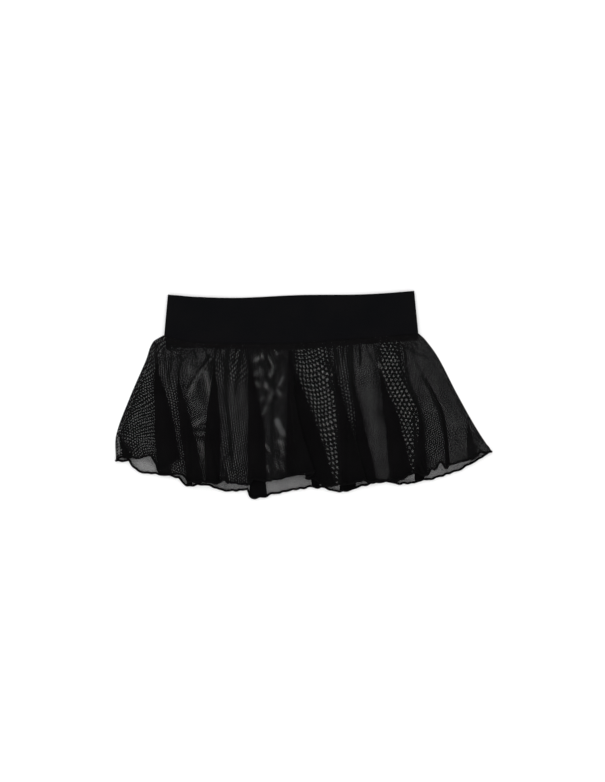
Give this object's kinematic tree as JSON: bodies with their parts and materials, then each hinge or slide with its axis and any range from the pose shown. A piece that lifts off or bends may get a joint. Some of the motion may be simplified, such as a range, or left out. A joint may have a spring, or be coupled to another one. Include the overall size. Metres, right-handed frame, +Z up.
{
  "type": "mesh mini skirt",
  "caption": "Short gathered net skirt with opaque godets, a wide elastic waistband and a rolled lettuce hem, laid flat front up.",
  "frame": {"origin": "on the surface the skirt lies on, below the middle of its outline", "axes": "+Z up off the surface, out of the skirt's front; +Y towards the waist; +X across the skirt"},
  "size_m": [0.5144, 0.2818, 0.0107],
  "materials": {
    "elastic": "matte ribbed elastic",
    "net": "open net of fine black yarn",
    "godet_knit": "matte fine knit",
    "thread": "overlocked thread"
  },
  "bodies": {
    "root": {"waistband": "elastic", "waist_seam_allowance": "thread", "side_gore_left": "net", "front_godet_1": "godet_knit", "front_gore_1": "net", "front_godet_2": "godet_knit", "front_gore_2": "net", "front_godet_3": "godet_knit", "front_gore_3": "net", "front_godet_4": "godet_knit", "front_gore_4": "net", "front_godet_5": "godet_knit", "front_gore_5": "net", "front_godet_6": "godet_knit", "front_gore_6": "net", "front_godet_7": "godet_knit", "front_gore_7": "net", "front_godet_8": "godet_knit", "front_gore_8": "net", "front_godet_9": "godet_knit", "front_gore_9": "net", "front_godet_10": "godet_knit", "front_gore_10": "net", "front_godet_11": "godet_knit", "side_gore_right": "net", "back_godet_7": "godet_knit", "back_gore_6": "net", "back_godet_6": "godet_knit", "back_gore_5": "net", "back_godet_5": "godet_knit", "back_gore_4": "net", "back_godet_4": "godet_knit", "back_gore_3": "net", "back_godet_3": "godet_knit", "back_gore_2": "net", "back_godet_2": "godet_knit", "back_gore_1": "net", "back_godet_1": "godet_knit", "hem_front": "thread", "hem_back": "thread"}
  },
  "joints": []
}
